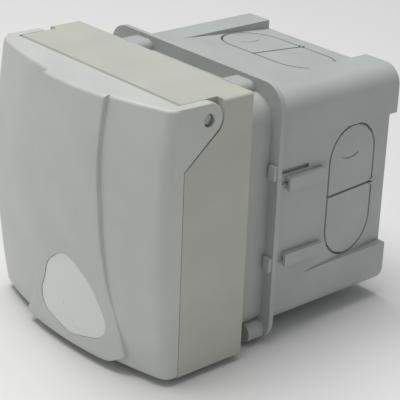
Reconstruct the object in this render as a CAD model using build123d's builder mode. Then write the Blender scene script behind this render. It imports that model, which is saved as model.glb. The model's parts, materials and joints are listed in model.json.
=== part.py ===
from build123d import *
from math import acos, atan2, cos, hypot, pi, sin
import os

# Flush-mounted three-phase socket with a sprung lid, in millimetres.
# X runs to the right as seen from the front, Y runs into the wall and Z runs up.
# The origin is the middle of the frame's back face, where it meets the wall.
# Depths called "ahead" are measured from the wall towards the user, along -Y.

# Outline shared by the frame and the lid
front_width = 100.0
front_height = 100.0
outline_radius = 1.2

# Frame
frame_ahead = 29.2
frame_wall = 2.2
plate_setback = 3.0
plate_thickness = 2.8
seam_gap = 0.25

# Lid: a barrel-shaped front, also curved from top to bottom
lid_crown_ahead = 46.2
lid_sag = 4.1
barrel_radius = 166.0
lid_wall = 2.4
lid_corner_radius = 5.0
lid_edge_radius = 1.2
drum_core = 60.0

# Raised panel of the lid, a waisted strip beside the middle
panel_middle = 7.5
panel_waist = 29.6
panel_waist_below_top = 15.0
panel_flare_radius = 249.0
panel_crown_ahead = 48.4
panel_crown_above_middle = 11.0
panel_dip_ahead = 45.2
panel_dip_above_foot = 22.0
panel_foot_hollow = 0.3
panel_lip_ahead = 45.4
panel_lip_radius = 2.6

# Label recess on the raised panel
label_depth = 0.9
label_plate_thickness = 0.6
label_clearance = 0.15
label_top_radius = 9.5
label_top_above_foot = 27.0
label_side_radius = 6.8
label_side_spread = 23.0
label_side_above_foot = 14.5
label_base_radius = 15.0
label_base_above_foot = 20.0

# Hinge
pin_ahead = 19.3
pin_below_top = 6.0
pin_diameter = 4.6
pin_chamfer = 0.4
pin_clearance = 0.06
ear_radius = 6.0
ear_thickness = 3.8
ear_root_below_pin = 16.2
ear_side_gap = 0.25
pocket_gap = 0.5
pin_recess = 1.1
pin_fit = 0.02
cheek_thickness = 3.5
cheek_foot_below_pin = 20.0
cheek_rear = 10.0
trough_floor_below_pin = 7.6
trough_rear = 10.0
trough_wall = 2.0
swing_gap = 0.3

# Torsion spring round the hinge pin
spring_wire = 1.0
spring_turns = 3
spring_pitch = 1.4
spring_play = 0.1
spring_reach = 2.7
spring_gap = 0.1

# Flush box, a little lower than the frame
box_drop = 2.1
body_width = 90.0
body_radius = 7.7
neck_inset = 1.2
neck_radius = 9.5
neck_length = 15.0
rim_side_overhang = 3.5
rim_end_overhang = 5.0
rim_radius = 9.0
rim_thickness = 2.3
rim_chamfer = 0.4
box_back = 78.8
box_wall = 2.2
channel_width = 54.0
channel_start = 34.0
channel_depth = 3.5

# Knock-outs in the four side walls and the back of the box
knockout_width = 26.6
knockout_length = 53.0
knockout_middle = 58.2
knockout_groove = 0.9
knockout_groove_depth = 0.7
knockout_tab_width = 2.4
knockout_tab_length = 1.6
knockout_tab_rise = 0.6
back_knockout_diameter = 28.0

# Coupling rails on both sides of the box
rail_start = 22.0
rail_length = 19.0
rail_reach = 2.7
rail_skin = 1.2
rail_height = 4.7
rail_spacing = 29.7
rail_middle = -5.0
rail_groove = 1.8
rail_groove_lead = 2.6
rail_groove_length = 14.2
rail_groove_offset = 2.1
rail_groove_depth = 1.4
tab_height = 5.3
tab_ahead_of_rim = 1.5
tab_thickness = 3.0
tab_spacing = 35.5
tab_middle = -1.7
slab_rise = 0.5

# Lugs on the neck
lug_spread = 57.0
lug_roundness = 0.9
lug_width = 12.0
lug_rise = 3.4
lug_length = 7.5
foot_lug_spread = 80.0
foot_lug_drop = 3.6

# Frame screws and the posts that take them
screw_inset = 7.3
screw_spread_height = 66.0
screw_diameter = 4.0
screw_head_diameter = 7.4
screw_head_height = 2.6
screw_length = 44.0
screw_clearance = 0.3
screw_tip_room = 1.0
screw_slot = 1.0
post_diameter = 8.6
post_length = 24.0
post_setback = 1.0
insert_diameter = 5.6
insert_length = 7.0
frame_boss_diameter = 8.6

# Socket shroud that takes the plug's skirt, and the ring that closes it behind
shroud_bore = 64.0
shroud_wall = 2.8
shroud_ahead = 33.0
shroud_floor_depth = 5.5
floor_thickness = 3.0
floor_flange_thickness = 2.0
floor_fit = 0.1
shroud_flange = 75.0
shroud_flange_thickness = 2.4
shroud_seat_clearance = 0.2
keyway_width = 6.0
keyway_depth = 2.2
keyway_wall = 2.0

# Contact carrier, its back and the five contacts
carrier_diameter = 54.0
carrier_ahead = 24.0
carrier_chamfer = 1.0
carrier_fit = 0.1
back_flange_thickness = 3.0
back_diameter = 52.0
back_length = 16.0
contact_circle_diameter = 34.0
phase_pin = 5.0
earth_pin = 7.0
entry_clearance = 0.15
entry_length = 4.0
sleeve_wall = 1.1
sleeve_clearance = 0.2
sleeve_setback = 1.0
sleeve_slit = 0.8
sleeve_slit_length = 22.0
ring_width = 3.0
ring_thickness = 0.5
ring_inset = 1.0
ring_play = 0.02
pillar_shoulder = 0.5
pillar_length = 15.0
wire_hole = 3.6
wire_hole_depth = 8.0
wire_entry_margin = 1.0
terminal_screw = 3.5
terminal_screw_access = 5.5
terminal_screw_back = 11.0
terminal_screw_slot = 0.8
back_play = 0.2
carrier_screw_circle_diameter = 59.0
carrier_screw_diameter = 3.0
carrier_screw_head = 5.4
carrier_screw_length = 7.0
carrier_screw_tip_room = 0.3

# Seals
seal_width = 5.0
seal_thickness = 2.7
seal_gap = 0.3
seal_lip = 1.2
seal_play = 0.2
frame_seal_thickness = 1.5
frame_seal_width = 2.2
frame_ledge = 5.6
frame_ledge_thickness = 2.6

# Derived places
seam = -frame_ahead
lid_back = seam - seam_gap
half_width = front_width / 2
half_height = front_height / 2
inside_half_width = half_width - frame_wall
inside_half_height = half_height - frame_wall
barrel_middle = barrel_radius - lid_crown_ahead
panel_waist_height = half_height - panel_waist_below_top
panel_dip_height = panel_dip_above_foot - half_height
pin_height = half_height - pin_below_top
ear_root_height = pin_height - ear_root_below_pin
cheek_foot_height = pin_height - cheek_foot_below_pin
trough_floor_height = pin_height - trough_floor_below_pin
ear_inner = half_width - ear_thickness
pocket_floor = ear_inner - ear_side_gap
plate_front = seam + plate_setback
plate_back = plate_front + plate_thickness
neck_width = body_width - 2 * neck_inset
rim_width = body_width + 2 * rim_side_overhang
rim_height = body_width + 2 * rim_end_overhang
rim_front = neck_length
body_front = rim_front + rim_thickness
shroud_outer = shroud_bore + 2 * shroud_wall
shroud_front = -shroud_ahead
shroud_end = shroud_floor_depth + floor_thickness
carrier_front = -carrier_ahead
carrier_end = shroud_end + floor_flange_thickness
back_front = carrier_end + back_flange_thickness
back_end = back_front + back_length
box_level = -box_drop
body_top = box_level + body_width / 2
swing_radius = hypot(pin_ahead + lid_back, ear_radius - lid_wall) - swing_gap
seal_outer = (shroud_outer + shroud_bore) / 2 + seal_width
seal_inner = seal_outer - 2 * seal_width
seal_front = shroud_front - seal_gap - seal_thickness
seat_outer = seal_outer + 2 * seal_lip
seal_track_width = 2 * inside_half_width - frame_ledge
seal_track_height = 2 * inside_half_height - frame_ledge
screw_spread_width = neck_width - 2 * screw_inset
screw_tip = plate_front + screw_length
chamber_front = carrier_front + entry_length
sleeve_front = carrier_front + sleeve_setback
sleeve_depth = carrier_end - sleeve_front
channel_slope = channel_depth / (box_back - channel_start)
knockout_height = body_top - channel_slope * (knockout_middle - channel_start)
knockout_floor = Plane(origin=(0, knockout_middle, knockout_height), x_dir=(1, 0, 0),
                       z_dir=(0, channel_slope, 1))
socket_line = Axis((0, 0, box_level), (0, 1, 0))
contact_names = ["contact_earth", "contact_neutral", "contact_l1", "contact_l2", "contact_l3"]

os.makedirs("parts", exist_ok=True)


def save(piece, name):
    """Label a finished piece and write it under its node's name."""
    piece.part.label = name
    export_step(piece.part, f"parts/{name}.step")


def across(y, level=0.0):
    """Plane that faces the user at depth y, with its X to the right and Y up."""
    return Plane(origin=(0, y, level), x_dir=(1, 0, 0), z_dir=(0, -1, 0))


def side(x):
    """Plane that faces +X at x. Its own X is the world's Y and its own Y the world's Z."""
    return Plane(origin=(x, 0, 0), x_dir=(0, 1, 0), z_dir=(1, 0, 0))


def drum(front, inset=0.0):
    """Solid turned about the upright axis of the barrel, with `inset` taken off its skin.
    `front` lists (ahead, z), and every second one is a point that an arc passes through."""
    skin = [(barrel_middle + ahead - inset, z) for ahead, z in front]
    with BuildPart() as turned:
        with BuildSketch(Plane(origin=(0, barrel_middle, 0), x_dir=(0, 1, 0), z_dir=(1, 0, 0))):
            with BuildLine():
                for start, through, end in zip(skin[0::2], skin[1::2], skin[2::2]):
                    ThreePointArc(start, through, end)
                Polyline(skin[-1], (drum_core, skin[-1][1]), (drum_core, skin[0][1]), skin[0])
            make_face()
        revolve(axis=Axis((0, barrel_middle, 0), (0, 0, 1)))
    return turned.part


def barrel_ahead(z):
    """How far ahead of the wall the lid's skin lies at height z, on its middle line."""
    return lid_crown_ahead - lid_sag * (z / half_height) ** 2


def lid_block(inset):
    """The lid's outer form, smaller by `inset` all round, from its back forwards."""
    reach = 1.2 * half_height
    front = [(barrel_ahead(reach), -reach), (lid_crown_ahead, 0), (barrel_ahead(reach), reach)]
    with BuildPart() as block:
        with BuildSketch(across(lid_back)):
            Rectangle(front_width - 2 * inset, front_height - 2 * inset)
        extrude(amount=lid_crown_ahead)
        add(drum(front, inset), mode=Mode.INTERSECT)
        upright = block.edges().filter_by(lambda edge: abs((edge @ 1 - edge @ 0).Z) > front_height / 2)
        fillet(upright.sort_by(Axis.Y)[:2], lid_corner_radius - inset)
    return block.part


def panel_block(inset):
    """The raised panel's solid, waisted from the front and with a rounded lip at its foot."""
    foot = -half_height
    lip = foot + panel_lip_radius
    slope = panel_lip_radius * cos(pi / 4)
    front = [
        (panel_lip_ahead - panel_lip_radius, foot),
        (panel_lip_ahead - panel_lip_radius + slope, lip - slope),
        (panel_lip_ahead, lip),
        (panel_dip_ahead - panel_foot_hollow, (lip + panel_dip_height) / 2),
        (panel_dip_ahead, panel_dip_height),
        (panel_crown_ahead, panel_crown_above_middle),
        (panel_dip_ahead, 2 * panel_crown_above_middle - panel_dip_height),
    ]
    with BuildPart() as panel:
        with BuildSketch(across(lid_back - lid_wall)):
            with BuildLine():
                ends = []
                for turn in (-1, 1):
                    points = []
                    for z in (foot, 0, half_height):
                        flare = (z - panel_waist_height) ** 2 / (2 * panel_flare_radius)
                        points.append((panel_middle + turn * (panel_waist / 2 + flare), z))
                    ThreePointArc(*points)
                    ends.append(points)
                Line(ends[0][0], ends[1][0])
                Line(ends[0][2], ends[1][2])
            make_face()
        extrude(amount=lid_crown_ahead)
        add(drum(front, inset), mode=Mode.INTERSECT)
    return panel.part


def label_prism(grow):
    """Rounded triangle of the label, pointing up, as a prism through the raised panel."""
    with BuildPart() as prism:
        with BuildSketch(across(lid_back - lid_wall)):
            with BuildLine():
                top = (panel_middle, label_top_above_foot - half_height)
                CenterArc(top, label_top_radius + grow, 0, 360)
                base = (panel_middle, label_base_above_foot - half_height)
                CenterArc(base, label_base_radius + grow, 0, 360)
                for turn in (-1, 1):
                    aside = panel_middle + turn * label_side_spread / 2
                    corner = (aside, label_side_above_foot - half_height)
                    CenterArc(corner, label_side_radius + grow, 0, 360)
            make_hull()
        extrude(amount=lid_crown_ahead)
    return prism.part


def ear_pair(grow, inner, outer):
    """Hinge ears on both sides between two distances from the middle: each is a lobe round the
    pin that runs forwards into the lid's side. `grow` makes them larger all round."""
    centre = (-pin_ahead, pin_height)
    radius = ear_radius + grow
    root = (lid_back, ear_root_height - grow)
    run = root[0] - centre[0]
    rise = root[1] - centre[1]
    angle = atan2(rise, run) + acos(radius / hypot(run, rise))
    touch = (centre[0] + radius * cos(angle), centre[1] + radius * sin(angle))
    top = pin_height + radius
    inside = lid_back - lid_wall
    with BuildPart() as ears:
        with BuildSketch(side(inner)):
            with BuildLine():
                ThreePointArc((centre[0], top), (centre[0] + radius, centre[1]), touch)
                Polyline(touch, root, (inside, root[1]), (inside, top), (centre[0], top))
            make_face()
        extrude(amount=outer - inner)
        mirror(about=Plane.YZ)
    return ears.part


def tube(outer, inner, start, end, level=box_level):
    """Ring about the socket's axis, between two depths."""
    with BuildPart() as hoop:
        with BuildSketch(across(end, level)):
            Circle(outer / 2)
            Circle(inner / 2, mode=Mode.SUBTRACT)
        extrude(amount=end - start)
    return hoop.part


def contact_place(index):
    """Middle of a contact as (x, z) from the socket's axis, with the earth contact at the foot."""
    angle = -pi / 2 + index * 2 * pi / len(contact_names)
    return contact_circle_diameter / 2 * cos(angle), contact_circle_diameter / 2 * sin(angle)


def pin_size(index):
    """Diameter of the plug's pin that a contact takes."""
    return earth_pin if index == 0 else phase_pin


def sleeve_size(index):
    """Outside diameter of a contact's sleeve."""
    return pin_size(index) + 2 * (sleeve_clearance / 2 + sleeve_wall)


def entry_size(index):
    """Bore of the carrier's front wall, where a sleeve's mouth shows."""
    return sleeve_size(index) + 2 * entry_clearance


def chamber_size(index):
    """Bore of the carrier round a sleeve and its spring ring."""
    return sleeve_size(index) + 2 * (ring_thickness + sleeve_clearance)


def pillar_size(index):
    """Diameter of a contact's terminal pillar, which stops against the carrier's end."""
    return chamber_size(index) + 2 * pillar_shoulder


def ledge_ring(width):
    """Rectangular ring along the middle of the frame's rear ledge, from the wall forwards."""
    with BuildPart() as ring:
        with BuildSketch(across(0)):
            Rectangle(seal_track_width + width, seal_track_height + width)
            Rectangle(seal_track_width - width, seal_track_height - width, mode=Mode.SUBTRACT)
        extrude(amount=frame_seal_thickness)
    return ring.part


def screw_plane(index):
    """Plane across a terminal screw, on its contact's axis and facing away from the socket's."""
    x, z = contact_place(index)
    reach = hypot(x, z)
    return Plane(origin=(x, carrier_end + terminal_screw_back, box_level + z), x_dir=(0, 1, 0),
                 z_dir=(x / reach, 0, z / reach))


def leave_coil(end, turn):
    """Angle at which a leg leaves the spring's coil to reach `end`, (y, z) from the pin, and its length."""
    reach = hypot(*end)
    angle = atan2(end[1], end[0]) % (2 * pi) + turn * acos(coil_radius / reach)
    return angle * 180 / pi, (reach ** 2 - coil_radius ** 2) ** 0.5


# Lid
panel = panel_block(0)
with BuildPart() as lid:
    add(lid_block(0))
    rims = lid.faces().filter_by(Axis.Z).sort_by(Axis.Z)
    for rim_face in (rims[0], rims[-1]):
        fillet(rim_face.edges().sort_by(Axis.Y)[:-1], lid_edge_radius)
    add(panel)
    add(lid_block(lid_wall), mode=Mode.SUBTRACT)
    add(ear_pair(0, ear_inner, half_width))
    with BuildSketch(side(0)):
        with Locations((-pin_ahead, pin_height)):
            Circle(pin_diameter / 2 + pin_clearance)
    extrude(amount=half_width, both=True, mode=Mode.SUBTRACT)
    seal_seat = tube(seat_outer, seal_inner - 2 * seal_lip, -lid_crown_ahead, seal_front)
    seal_seat += tube(seat_outer, seal_outer + seal_play, -lid_crown_ahead, seal_front + seal_lip)
    add(seal_seat & lid_block(lid_wall / 2))
    add(label_prism(label_clearance) - panel_block(label_depth), mode=Mode.SUBTRACT)
save(lid, "lid")

with BuildPart() as label_plate:
    add(panel_block(label_depth - label_plate_thickness) - panel_block(label_depth))
    add(label_prism(0), mode=Mode.INTERSECT)
save(label_plate, "label_plate")

with BuildPart() as lid_seal:
    add(tube(seal_outer, seal_inner, seal_front, seal_front + seal_thickness))
save(lid_seal, "lid_seal")

# Hinge pin and its spring
with BuildPart() as hinge_pin:
    with BuildSketch(side(0)):
        with Locations((-pin_ahead, pin_height)):
            Circle(pin_diameter / 2)
    extrude(amount=half_width - pin_recess, both=True)
    chamfer(hinge_pin.edges().filter_by(GeomType.CIRCLE), pin_chamfer)
save(hinge_pin, "hinge_pin")

coil_radius = (pin_diameter + spring_wire) / 2 + spring_play
rest_height = spring_wire / 2 + spring_gap - pin_height
seat_height = box_level + seat_outer / 2 + rest_height
front_end = (seal_front - spring_reach + pin_ahead, seat_height)
rear_end = (pin_ahead - trough_rear - spring_wire, trough_floor_height + trough_wall + rest_height)
front_angle, front_leg = leave_coil(front_end, -1)
rear_angle, rear_leg = leave_coil(rear_end, 1)
coil_length = spring_pitch * (spring_turns + (front_angle - rear_angle) / 360)
coil = Helix(spring_pitch, coil_length, coil_radius, center=(-coil_length / 2, -pin_ahead, pin_height),
             direction=(1, 0, 0))
coil = coil.rotate(Axis((0, -pin_ahead, pin_height), (1, 0, 0)), rear_angle - 90)
with BuildPart() as lid_spring:
    with BuildSketch(Plane(origin=coil @ 0, z_dir=coil % 0)):
        Circle(spring_wire / 2)
    sweep(path=coil, is_frenet=True)
    with BuildSketch(Plane(origin=coil @ 0, z_dir=-(coil % 0))):
        Circle(spring_wire / 2)
    extrude(amount=rear_leg)
    with BuildSketch(Plane(origin=coil @ 1, z_dir=coil % 1)):
        Circle(spring_wire / 2)
    extrude(amount=front_leg)
save(lid_spring, "lid_spring")

# Front frame
with BuildPart() as front_frame:
    with BuildSketch(across(0)):
        RectangleRounded(front_width, front_height, outline_radius)
        Rectangle(2 * inside_half_width, 2 * inside_half_height, mode=Mode.SUBTRACT)
    extrude(amount=frame_ahead)
    with BuildSketch(across(plate_back)):
        with Locations((0, -inside_half_height)):
            Rectangle(2 * inside_half_width, trough_floor_height + trough_wall + inside_half_height,
                      align=(Align.CENTER, Align.MIN))
    extrude(amount=plate_thickness)
    with BuildSketch(side(0)):
        with BuildLine():
            floor = trough_floor_height
            rear = -trough_rear
            top = inside_half_height
            Polyline((plate_back, floor), (rear + trough_wall, floor), (rear + trough_wall, top),
                     (rear, top), (rear, floor + trough_wall), (plate_back, floor + trough_wall),
                     (plate_back, floor))
        make_face()
    extrude(amount=inside_half_width, both=True)
    for turn in (-1, 1):
        with BuildSketch(side(turn * (pocket_floor - cheek_thickness))):
            with Locations(((plate_back - cheek_rear) / 2, cheek_foot_height)):
                Rectangle(-cheek_rear - plate_back + 2 * plate_thickness,
                          inside_half_height - cheek_foot_height,
                          align=(Align.CENTER, Align.MIN))
        extrude(amount=turn * (half_width - frame_wall / 2 - pocket_floor + cheek_thickness))
    with BuildSketch(across(0)):
        Rectangle(2 * inside_half_width, 2 * inside_half_height)
        Rectangle(2 * (inside_half_width - frame_ledge), 2 * (inside_half_height - frame_ledge),
                  mode=Mode.SUBTRACT)
    extrude(amount=frame_ledge_thickness)
    add(ledge_ring(frame_seal_width), mode=Mode.SUBTRACT)
    with BuildSketch(across(0, box_level)):
        with GridLocations(screw_spread_width, screw_spread_height, 2, 2):
            Circle(frame_boss_diameter / 2)
    extrude(amount=-plate_back)
    with BuildSketch(across(0, box_level)):
        with GridLocations(screw_spread_width, screw_spread_height, 2, 2):
            Circle(screw_diameter / 2 + screw_clearance)
        Circle(shroud_outer / 2 + shroud_seat_clearance)
    extrude(amount=frame_ahead, mode=Mode.SUBTRACT)
    with BuildSketch(side(0)):
        with Locations((-pin_ahead, pin_height)):
            Circle(2 * swing_radius)
            Circle(swing_radius, mode=Mode.SUBTRACT)
        with Locations((-pin_ahead, pin_height)):
            Rectangle(4 * swing_radius, 4 * swing_radius, align=(Align.MIN, Align.CENTER),
                      mode=Mode.SUBTRACT)
            Rectangle(4 * swing_radius, 4 * swing_radius, align=(Align.MAX, Align.MAX),
                      mode=Mode.SUBTRACT)
    extrude(amount=inside_half_width, both=True, mode=Mode.SUBTRACT)
    add(ear_pair(pocket_gap, pocket_floor, front_width), mode=Mode.SUBTRACT)
    for turn in (-1, 1):
        with BuildSketch(side(turn * pocket_floor)):
            with Locations((-pin_ahead, pin_height)):
                Rectangle(ear_radius + pocket_gap, half_height, align=(Align.MIN, Align.MIN))
        extrude(amount=turn * half_width, mode=Mode.SUBTRACT)
    with BuildSketch(side(0)):
        with Locations((-pin_ahead, pin_height)):
            Circle(pin_diameter / 2 + pin_fit)
    extrude(amount=half_width, both=True, mode=Mode.SUBTRACT)
save(front_frame, "front_frame")

with BuildPart() as frame_seal:
    add(ledge_ring(frame_seal_width - seal_play))
save(frame_seal, "frame_seal")

# Flush box


def box_body(inset, front, back):
    """Body of the box between two depths, with a channel in each side that deepens backwards."""
    half = body_width / 2 - inset
    with BuildPart() as channel:
        with BuildSketch(side(0)):
            with BuildLine():
                run = box_back + box_wall - channel_start
                level = box_level + half
                Polyline((channel_start, level), (channel_start + run, level - channel_slope * run),
                         (channel_start + run, level + box_wall), (channel_start, level + box_wall),
                         (channel_start, level))
            make_face()
        extrude(amount=channel_width / 2 + inset, both=True)
    with BuildPart() as body:
        with BuildSketch(across(back, box_level)):
            RectangleRounded(2 * half, 2 * half, body_radius - inset)
        extrude(amount=back - front)
        for turn in range(4):
            add(channel.part.rotate(socket_line, 90 * turn), mode=Mode.SUBTRACT)
    return body.part


with BuildPart() as knockout_lines:
    with BuildSketch(knockout_floor):
        SlotCenterToCenter(knockout_length - knockout_width, knockout_width)
        SlotCenterToCenter(knockout_length - knockout_width, knockout_width - 2 * knockout_groove,
                           mode=Mode.SUBTRACT)
        Rectangle(knockout_groove, knockout_width)
    extrude(amount=knockout_groove_depth, both=True)

with BuildPart() as knockout_tab:
    with BuildSketch(knockout_floor):
        with Locations((0, knockout_width / 2)):
            Rectangle(knockout_tab_width, knockout_tab_length, align=(Align.CENTER, Align.MAX))
    extrude(amount=knockout_tab_rise)
    extrude(knockout_tab.faces().sort_by(Axis.Z)[0], amount=knockout_groove_depth)

with BuildPart() as right_trim:
    wall = body_width / 2
    for level in (rail_middle + rail_spacing / 2, rail_middle - rail_spacing / 2):
        with BuildSketch(across(rail_start + rail_length)):
            with BuildLine():
                top = level + rail_height / 2
                low = level - rail_height / 2
                out = wall + rail_reach
                Polyline((wall, top), (out, top), (out, low), (out - rail_skin, low),
                         (out - rail_skin, top - rail_skin), (wall, top - rail_skin), (wall, top))
            make_face()
        extrude(amount=rail_length)
    with BuildSketch(side(wall)):
        with Locations((body_front, tab_middle)):
            with GridLocations(1, tab_spacing, 1, 2):
                Rectangle(rim_thickness + tab_ahead_of_rim, tab_height, align=(Align.MAX, Align.CENTER))
    extrude(amount=tab_thickness)
    with BuildSketch(side(wall)):
        with Locations((body_front, rail_middle)):
            Rectangle(rail_start + rail_length - body_front, rail_spacing, align=(Align.MIN, Align.CENTER))
    extrude(amount=slab_rise)

with BuildPart() as flush_box:
    with BuildSketch(across(rim_front, box_level)):
        RectangleRounded(neck_width, body_width, neck_radius)
    extrude(amount=neck_length)
    with BuildSketch(across(body_front, box_level)):
        RectangleRounded(rim_width, rim_height, rim_radius)
    extrude(amount=rim_thickness)
    chamfer(flush_box.faces().sort_by(Axis.Y)[-1].outer_wire().edges(), rim_chamfer)
    add(box_body(0, body_front, box_back))
    with BuildSketch(across(rim_front, box_level)):
        with Locations((0, body_width / 2)):
            with GridLocations(lug_spread, 1, 2, 1):
                RectangleRounded(lug_width, 2 * lug_rise, lug_rise * lug_roundness)
        with Locations((0, -body_width / 2)):
            with GridLocations(foot_lug_spread, 1, 2, 1):
                RectangleRounded(lug_width, 2 * foot_lug_drop, foot_lug_drop * lug_roundness)
    extrude(amount=lug_length)
    with BuildSketch(across(rim_front, box_level)):
        RectangleRounded(neck_width - 2 * box_wall, body_width - 2 * box_wall, neck_radius - box_wall)
    extrude(amount=neck_length, mode=Mode.SUBTRACT)
    add(box_body(box_wall, rim_front, box_back - box_wall), mode=Mode.SUBTRACT)
    for turn in (0, 90, 180, 270):
        add(knockout_lines.part.rotate(socket_line, turn), mode=Mode.SUBTRACT)
        add(knockout_tab.part.rotate(socket_line, turn))
    with BuildSketch(across(box_back, box_level)):
        Circle(back_knockout_diameter / 2)
        Circle(back_knockout_diameter / 2 - knockout_groove, mode=Mode.SUBTRACT)
    extrude(amount=knockout_groove_depth, mode=Mode.SUBTRACT)
    add(right_trim.part)
    add(right_trim.part.mirror(Plane.YZ))
    with BuildSketch(side(body_width / 2)):
        for level in (rail_middle + rail_spacing / 2, rail_middle - rail_spacing / 2):
            with Locations((rail_start - rail_groove_lead, level + rail_height / 2 + rail_groove_offset)):
                Rectangle(rail_groove_length, rail_groove, align=(Align.MIN, Align.CENTER))
    extrude(amount=-rail_groove_depth, mode=Mode.SUBTRACT)
    with BuildSketch(across(post_setback + post_length, box_level)):
        with GridLocations(screw_spread_width, screw_spread_height, 2, 2):
            Circle(post_diameter / 2)
        for turn in (-1, 1):
            for rise in (-1, 1):
                with Locations((turn * screw_spread_width / 2, rise * screw_spread_height / 2)):
                    Rectangle(screw_inset - box_wall / 2, post_diameter,
                              align=(Align.MIN if turn > 0 else Align.MAX, Align.CENTER))
    extrude(amount=post_length)
    with BuildSketch(across(post_setback + insert_length, box_level)):
        with GridLocations(screw_spread_width, screw_spread_height, 2, 2):
            Circle(insert_diameter / 2 + pin_fit)
    extrude(amount=insert_length, mode=Mode.SUBTRACT)
    with BuildSketch(across(screw_tip + screw_tip_room, box_level)):
        with GridLocations(screw_spread_width, screw_spread_height, 2, 2):
            Circle(screw_diameter / 2 + screw_clearance)
    extrude(amount=screw_tip + screw_tip_room, mode=Mode.SUBTRACT)
save(flush_box, "flush_box")

# Socket shroud, its rear ring and the contact carrier
with BuildPart() as shroud:
    add(tube(shroud_outer, shroud_bore, shroud_front, shroud_end))
    add(tube(shroud_flange, shroud_bore, plate_back, plate_back + shroud_flange_thickness))
    with BuildSketch(across(shroud_end, box_level)):
        with Locations((0, -shroud_bore / 2)):
            Rectangle(keyway_width + 2 * keyway_wall, 2 * (keyway_depth + keyway_wall))
        Circle(shroud_bore / 2, mode=Mode.SUBTRACT)
    extrude(amount=shroud_end - plate_back)
    with BuildSketch(across(shroud_floor_depth, box_level)):
        with Locations((0, -shroud_bore / 2)):
            Rectangle(keyway_width, 2 * keyway_depth)
    extrude(amount=shroud_floor_depth - shroud_front, mode=Mode.SUBTRACT)
save(shroud, "shroud")

with BuildPart() as shroud_floor:
    opening = carrier_diameter + 2 * carrier_fit
    add(tube(shroud_bore - 2 * floor_fit, opening, shroud_floor_depth, shroud_end))
    add(tube(shroud_outer, opening, shroud_end, carrier_end))
    with BuildSketch(across(carrier_end, box_level)):
        with PolarLocations(carrier_screw_circle_diameter / 2, 3, start_angle=90):
            Circle(carrier_screw_diameter / 2 + pin_fit)
    extrude(amount=carrier_screw_length - back_flange_thickness + carrier_screw_tip_room, mode=Mode.SUBTRACT)
save(shroud_floor, "shroud_floor")

with BuildPart() as contact_carrier:
    with BuildSketch(across(carrier_end, box_level)):
        Circle(carrier_diameter / 2)
    extrude(amount=carrier_end - carrier_front)
    chamfer(contact_carrier.faces().sort_by(Axis.Y)[0].edges(), carrier_chamfer)
    for index in range(len(contact_names)):
        with BuildSketch(across(carrier_end, box_level)):
            with Locations(contact_place(index)):
                Circle(chamber_size(index) / 2)
        extrude(amount=carrier_end - chamber_front, mode=Mode.SUBTRACT)
        with BuildSketch(across(carrier_end, box_level)):
            with Locations(contact_place(index)):
                Circle(entry_size(index) / 2)
        extrude(amount=carrier_end - carrier_front, mode=Mode.SUBTRACT)
save(contact_carrier, "contact_carrier")

with BuildPart() as carrier_back:
    with BuildSketch(across(back_front, box_level)):
        Circle(shroud_outer / 2)
        with PolarLocations(carrier_screw_circle_diameter / 2, 3, start_angle=90):
            Circle(carrier_screw_diameter / 2 + screw_clearance, mode=Mode.SUBTRACT)
    extrude(amount=back_flange_thickness)
    with BuildSketch(across(back_end, box_level)):
        Circle(back_diameter / 2)
    extrude(amount=back_length)
    for index in range(len(contact_names)):
        with BuildSketch(across(carrier_end + pillar_length + back_play, box_level)):
            with Locations(contact_place(index)):
                Circle(pillar_size(index) / 2 + back_play)
        extrude(amount=pillar_length + back_play, mode=Mode.SUBTRACT)
        with BuildSketch(across(back_end, box_level)):
            with Locations(contact_place(index)):
                Circle(wire_hole / 2 + wire_entry_margin)
        extrude(amount=back_length, mode=Mode.SUBTRACT)
        with BuildSketch(screw_plane(index)):
            Rectangle(terminal_screw_access, terminal_screw_access)
        extrude(amount=back_diameter / 2, mode=Mode.SUBTRACT)
save(carrier_back, "carrier_back")

# Contacts with their spring rings and terminal screws
for index, contact_name in enumerate(contact_names):
    with BuildPart() as contact:
        with BuildSketch(across(carrier_end, box_level)):
            with Locations(contact_place(index)):
                Circle(sleeve_size(index) / 2)
        extrude(amount=carrier_end - sleeve_front)
        with BuildSketch(across(carrier_end + pillar_length, box_level)):
            with Locations(contact_place(index)):
                Circle(pillar_size(index) / 2)
        extrude(amount=pillar_length)
        with BuildSketch(across(sleeve_front + sleeve_depth, box_level)):
            with Locations(contact_place(index)):
                Circle((pin_size(index) + sleeve_clearance) / 2)
        extrude(amount=sleeve_depth, mode=Mode.SUBTRACT)
        with BuildSketch(across(sleeve_front + sleeve_slit_length, box_level)):
            with Locations(contact_place(index)):
                Rectangle(sleeve_slit, 2 * sleeve_size(index))
        extrude(amount=sleeve_slit_length, mode=Mode.SUBTRACT)
        with BuildSketch(across(carrier_end + pillar_length, box_level)):
            with Locations(contact_place(index)):
                Circle(wire_hole / 2)
        extrude(amount=wire_hole_depth, mode=Mode.SUBTRACT)
        with BuildSketch(screw_plane(index)):
            Circle(terminal_screw / 2 + pin_fit)
        extrude(amount=pillar_size(index), mode=Mode.SUBTRACT)
    save(contact, contact_name)

    with BuildPart() as clip:
        with BuildSketch(across(chamber_front + ring_inset + ring_width, box_level)):
            with Locations(contact_place(index)):
                Circle(sleeve_size(index) / 2 + ring_play + ring_thickness)
                Circle(sleeve_size(index) / 2 + ring_play, mode=Mode.SUBTRACT)
        extrude(amount=ring_width)
    save(clip, contact_name.replace("contact", "spring_ring"))

    with BuildPart() as clamp_screw:
        with BuildSketch(screw_plane(index).offset(wire_hole / 2 + pin_fit)):
            Circle(terminal_screw / 2)
        extrude(amount=(pillar_size(index) - wire_hole) / 2 - pin_fit)
        with BuildSketch(screw_plane(index).offset(pillar_size(index) / 2)):
            Rectangle(terminal_screw_slot, 2 * terminal_screw)
        extrude(amount=-terminal_screw_slot, mode=Mode.SUBTRACT)
    save(clamp_screw, contact_name.replace("contact", "terminal_screw"))


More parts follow.
